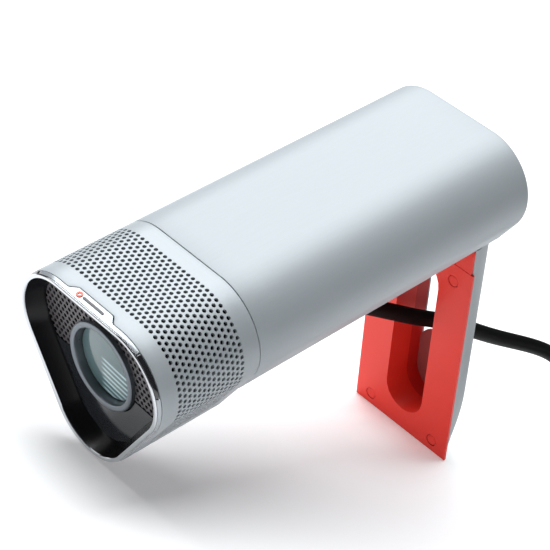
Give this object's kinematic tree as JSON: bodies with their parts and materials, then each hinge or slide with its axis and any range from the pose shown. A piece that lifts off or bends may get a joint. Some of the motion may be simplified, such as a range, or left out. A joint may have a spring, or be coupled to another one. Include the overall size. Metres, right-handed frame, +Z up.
{
  "type": "video conference camera",
  "caption": "Tubular conference camera with a perforated microphone sleeve, hooded lens with shutter ring, fold-out stand leg and attached coiled cable.",
  "frame": {"origin": "On the surface the camera rests on, under the middle of its footprint, cable left out", "axes": "+Z up; the lens looks along -Y, tipped down onto the rim's lower edge; +X to the right seen from the front looking along +Y; the camera is symmetric about X = 0"},
  "size_m": [0.1176, 0.4475, 0.1473],
  "materials": {
    "satin_silver": "satin metallic silver",
    "chrome_trim": "bright",
    "gloss_black": "piano black",
    "matt_black": "matt",
    "grey_metal": "satin anodised grey",
    "coated_glass": "polished, anti-reflection coated",
    "red_plastic": "semi-gloss coral red",
    "steel": "plain",
    "circuit_board": "solder mask",
    "cable_black": "soft PVC"
  },
  "bodies": {
    "camera": {"rim_trim": "chrome_trim", "sensor_window_left": "gloss_black", "sensor_window_right": "gloss_black", "front_sleeve": "satin_silver", "sleeve_liner": "matt_black", "keel_bulkhead": "satin_silver", "rear_shell": "satin_silver", "rear_cap": "matt_black", "underside_panel": "matt_black", "underside_screw_1": "steel", "underside_screw_2": "steel", "underside_screw_3": "steel", "underside_screw_4": "steel", "cable_gland": "cable_black", "hood": "gloss_black", "front_mesh": "matt_black", "lower_baffle": "gloss_black", "lens_shroud": "gloss_black", "lens_window": "coated_glass", "window_retainer": "matt_black", "shutter_pin": "steel", "lens_barrel": "matt_black", "front_element": "coated_glass", "rear_element": "coated_glass", "lens_holder": "matt_black", "image_sensor": "gloss_black", "sensor_board": "circuit_board", "mic_capsule_1": "steel", "mic_capsule_2": "steel", "mic_capsule_3": "steel", "mic_capsule_4": "steel", "chassis_tray": "steel", "main_board": "circuit_board", "video_processor": "matt_black", "heat_spreader": "grey_metal", "hinge_lug": "steel", "friction_washer_left": "steel", "friction_washer_right": "steel", "cable": "cable_black", "cable_coil": "cable_black", "coil_tie": "matt_black", "cable_tail": "cable_black", "connector_boot": "cable_black", "connector_shell": "cable_black", "connector_insert": "steel", "connector_screw_left": "steel", "connector_screw_right": "steel"},
    "shutter_ring": {"lens_ring": "grey_metal"},
    "shutter": {"shutter_blade": "matt_black"},
    "leg": {"leg_shell": "satin_silver", "leg_panel": "red_plastic", "panel_plug_1": "red_plastic", "panel_plug_2": "red_plastic", "panel_plug_3": "red_plastic", "panel_plug_4": "red_plastic", "hinge_block": "red_plastic", "hinge_pin": "steel"}
  },
  "joints": [
    {"name": "leg_hinge", "type": "hinge", "parent": "camera", "child": "leg", "pos_m": [0, 0.05818, 0.09984], "axis": [1, 0, 0], "range_deg": [-88.75, 0]},
    {"name": "ring_turn", "type": "hinge", "parent": "camera", "child": "shutter_ring", "pos_m": [0, -0.09703, 0.03676], "axis": [0, 0.8763, 0.4818], "range_deg": [0, 60]},
    {"name": "shutter_swing", "type": "hinge", "parent": "camera", "child": "shutter", "pos_m": [0, -0.08187, 0.02683], "axis": [0, -0.8763, -0.4818], "range_deg": [0, 70]}
  ],
  "couplings": [
    {"joint": "shutter_swing", "follows": "ring_turn", "ratio": 1.1667}
  ]
}
